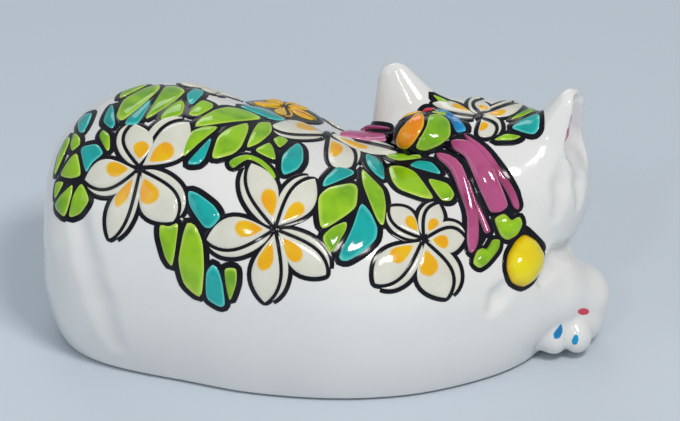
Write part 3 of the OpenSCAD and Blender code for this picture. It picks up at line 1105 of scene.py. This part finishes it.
# Lobes of the knot that are seen, and those behind, on TOP
KNOT_LOBES = [
    ("orange", [(34, 77), (31, 77), (25.5, 71.5), (24, 67.3), (25, 65.4), (28, 64.5), (30.5, 67),
                (34, 72.5)]),
    ("green", [(35.5, 76.5), (39.5, 77), (43, 74.5), (43.5, 69), (39.5, 66), (34.5, 64), (30.5, 65),
               (35, 72.5)]),
    ("blue", [(37, 78.5), (41.5, 78.5), (46.5, 75.5), (49.5, 71), (45.5, 70), (43.5, 74.5), (40, 77.5)]),
    ("red", [(33, 77.5), (34.5, 79), (38, 79), (36.5, 78)]),
]
KNOT_BACK = [
    ("orange", [(27, 6), (27, 9), (31, 11.5), (35, 11.5), (34, 7.5), (30, 5.5)]),
    ("green", [(37, 8), (38, 11.5), (42, 10.5), (46, 6.5), (42, 6)]),
]

# Painted on the near forepaw without lines: the claws' corners, and the pad's place and radii
CLAWS = [
    [(82.8, 2.9), (83.3, 0), (82.2, -2.6), (80.2, -2.9), (79.8, -1), (81.4, 1.2)],
    [(88.2, -0.9), (89, -2.8), (88.3, -4.8), (86.8, -4.9), (86.4, -3.4), (87.3, -1.6)],
]
PAD = ((90.6, 6.9), (2.1, 1.25))

# Inside each ear, on the ear's own plane
LINING = [(-4.5, -4), (4.5, -4), (4, 4), (0, 11), (-4, 4)]

# The face, on FACE: the nose's corners, and one side's closed eye and half mouth as (x, y, width) stations
NOSE = [(-3.6, -5), (3.6, -5), (0, -9.5)]
EYE_LINE = [(9, 2.5, 0.6), (14, -1.5, 1.6), (20, -1.5, 1.6), (25, 3, 0.6)]
MOUTH_LINE = [(0.3, -10, 0.7), (2.5, -14, 1.0), (6.5, -14.5, 0.6)]
FACE_HEIGHT = 0.3

# The far side, on FAR, is plainer: each flower's centre and turn, and each leaf's foot, heading in degrees
# and length
FAR_FLOWERS = [((-6, 27), 60), ((46, 23), 20), ((75, 20), 80)]
FAR_FLOWER_RADIUS = 12
FAR_LEAVES = [
    ("green", (60, 29), 70, 14),
    ("teal", (58, 31), 105, 11),
    ("green", (61, 14), -75, 14),
    ("teal", (57, 12), -115, 11),
    ("green", (32, 18), -150, 13),
    ("teal", (35, 11), -115, 12),
    ("green", (7, 20), -35, 12),
    ("teal", (3, 14), -75, 11),
    ("green", (86, 32), 60, 10),
    ("green", (-16, 38), 115, 10),
    ("teal", (-14, 14), -120, 11),
]
# Widths of such a leaf at shares of the way along it, both against its length
LEAF_SHAPE = [(0, 0.05), (0.25, 0.36), (0.55, 0.42), (0.8, 0.26), (1, 0.03)]

# The bead is shaped like a lemon; the tie is the blob of line colour that it hangs from
BEAD = [
    (69.4, 34.6), (73.6, 32.4), (76, 27.3), (75, 22), (72, 17.6), (68.5, 15.4), (65, 17),
    (63, 21.7), (63.4, 27), (66.3, 32),
]
BEAD_HEIGHT = 5.2
BEAD_LINE = 1.7
BEAD_TIE = [(68.5, 38), (71, 37), (77, 31), (77, 28), (73, 33), (69, 35.5)]

# The thin line round a plain black cell, and the height of what is only painted on
GROUND_LINE = 0.3
PAINT_HEIGHT = 0.2


def leaves(rows, plane=NEAR):
    return [patch(colour, corners, line=LEAF_LINE, plane=plane) for colour, corners in rows]


def haunch_flower():
    centre, radius, turn = HAUNCH_FLOWER
    ground = disc("black", centre, HAUNCH_DISC, height=0.45, swell=0, line=GROUND_LINE, plane=TOP)
    return [ground] + wheel(centre, radius, turn, TOP, "amber", width=0.42)


def ribbon(name):
    """The folds of one piece of the ribbon on their black ground."""
    ground = patch("black", RIBBON_GROUND[name], height=0.5, swell=0.0, line=GROUND_LINE)
    return [ground] + [band("pink", path, height=PLEAT_HEIGHT, swell=0.4) for path in PLEATS[name]]


def face():
    cells = [patch("pink", NOSE, height=FACE_HEIGHT, line=0.6, plane=FACE)]
    for side in (-1, 1):
        for line in (EYE_LINE, MOUTH_LINE):
            path = [(side * x, y, width) for x, y, width in line]
            cells.append(band("black", path, height=FACE_HEIGHT, line=0, plane=FACE))
    return cells


def far_leaves():
    cells = []
    for colour, foot, heading, length in FAR_LEAVES:
        course = [(*around(foot, t * length, t * length, heading), wide * length) for t, wide in LEAF_SHAPE]
        cells.append(band(colour, course, line=LEAF_LINE, plane=FAR))
    return cells


def far_flowers():
    return [part for at, turn in FAR_FLOWERS for part in wheel(at, FAR_FLOWER_RADIUS, turn, FAR)]


def paw_paint():
    claws = [patch("blue", corners, height=PAINT_HEIGHT, line=0) for corners in CLAWS]
    return claws + [disc("red", *PAD, height=PAINT_HEIGHT, line=0)]


def bead():
    body = patch("yellow", BEAD, height=BEAD_HEIGHT, swell=1.0, line=BEAD_LINE)
    return [body, patch("black", BEAD_TIE, height=0.6, line=GROUND_LINE)]


enamel("rump_leaves", leaves(LEAF_RUMP), "leaf_rump")
enamel("crest_leaves", leaves(LEAF_CREST), "leaf_crest")
enamel("flank_leaves", leaves(LEAF_FLANK) + [band("green", ARCHED_LEAF)], "leaf_flank")
enamel("hanging_leaf", leaves(LEAF_HANGING), "leaf_hanging")
enamel("shoulder_leaves", leaves(LEAF_SHOULDER), "leaf_shoulder")
enamel("crown_leaves", leaves(LEAF_CROWN), "leaf_crown")
for name, (centre, petals) in FLOWERS.items():
    enamel(name + "_flower", flower(centre, petals), "flower_" + name)
enamel("crest_flower", wheel(*CREST_FLOWER, TOP), "flower_crest")
enamel("haunch_flower", haunch_flower(), "flower_haunch")
for name in PLEATS:
    enamel(name + "_pleats", ribbon(name), name)
for name, corners in TIPS.items():
    tip = patch("green", corners, height=TIP_HEIGHT, swell=0.8)
    enamel(name + "_notched", [tip], name)
for name in EARS:
    lining = patch("pink", LINING, height=PAINT_HEIGHT, line=0, plane=ear_plane(name))
    enamel(name + "_lining", [lining])
enamel("face_lines", face())
enamel("far_leaves", far_leaves())
enamel("far_flowers", far_flowers())
enamel("knot_lobes", leaves(KNOT_LOBES) + leaves(KNOT_BACK, TOP))
enamel("claws_and_pad", paw_paint())
enamel("bell_bead", bead(), "bell")


# ---- floor, light and camera


# Lamps that all aim at the middle of the figure: place and size in metres, power in watts, tint
AIM = Vector((0, 0, 0.05))
LAMPS = {
    "key": ((0.3, -0.65, 0.95), (0.3, 0.2), 6.2, (1.0, 0.97, 0.93)),
    "fill": ((-0.9, -0.5, 0.6), (0.6, 0.5), 0.9, (0.80, 0.91, 1.0)),
    "window": ((-0.25, -0.9, 0.75), (0.05, 0.12), 0.9, WHITE),
    "rim": ((-0.2, 0.9, 0.9), (0.8, 0.4), 2.2, WHITE),
}
SKY = (0.88, 0.95, 1.0, 1)
SKY_STRENGTH = 0.39
# Half a side of the floor, in millimetres
FLOOR_HALF = 3000.0


def aim(obj, at, ahead):
    """Puts a lamp or a camera at a place, looking ahead."""
    obj.location = at
    obj.rotation_mode = "QUATERNION"
    obj.rotation_quaternion = Vector(ahead).to_track_quat("-Z", "Y")


def area_light(name, at, size, power, tint):
    data = bpy.data.lights.new(name, "AREA")
    data.shape = "RECTANGLE"
    data.size, data.size_y = size
    data.energy = power
    data.color = tint
    aim(link(name, data), at, AIM - Vector(at))


def stage():
    corners = [(x * FLOOR_HALF, y * FLOOR_HALF, 0) for x, y in ((-1, -1), (1, -1), (1, 1), (-1, 1))]
    mesh_object("floor", corners, [(0, 1, 2, 3)], floor_card())
    world = bpy.data.worlds.new("studio")
    bpy.context.scene.world = world
    world.use_nodes = True
    sky = world.node_tree.nodes["Background"].inputs
    sky["Color"].default_value = SKY
    sky["Strength"].default_value = SKY_STRENGTH
    for name, lamp in LAMPS.items():
        area_light(name, *lamp)


def camera():
    data = bpy.data.cameras.new("camera")
    data.lens = data.sensor_width * VIEW_DISTANCE / VIEW_WIDTH
    data.clip_end = 100.0
    eye = link("camera", data)
    aim(eye, NEAR.eye * MM, -NEAR.back)
    bpy.context.scene.camera = eye


stage()
camera()
bpy.context.scene.view_settings.view_transform = "Standard"
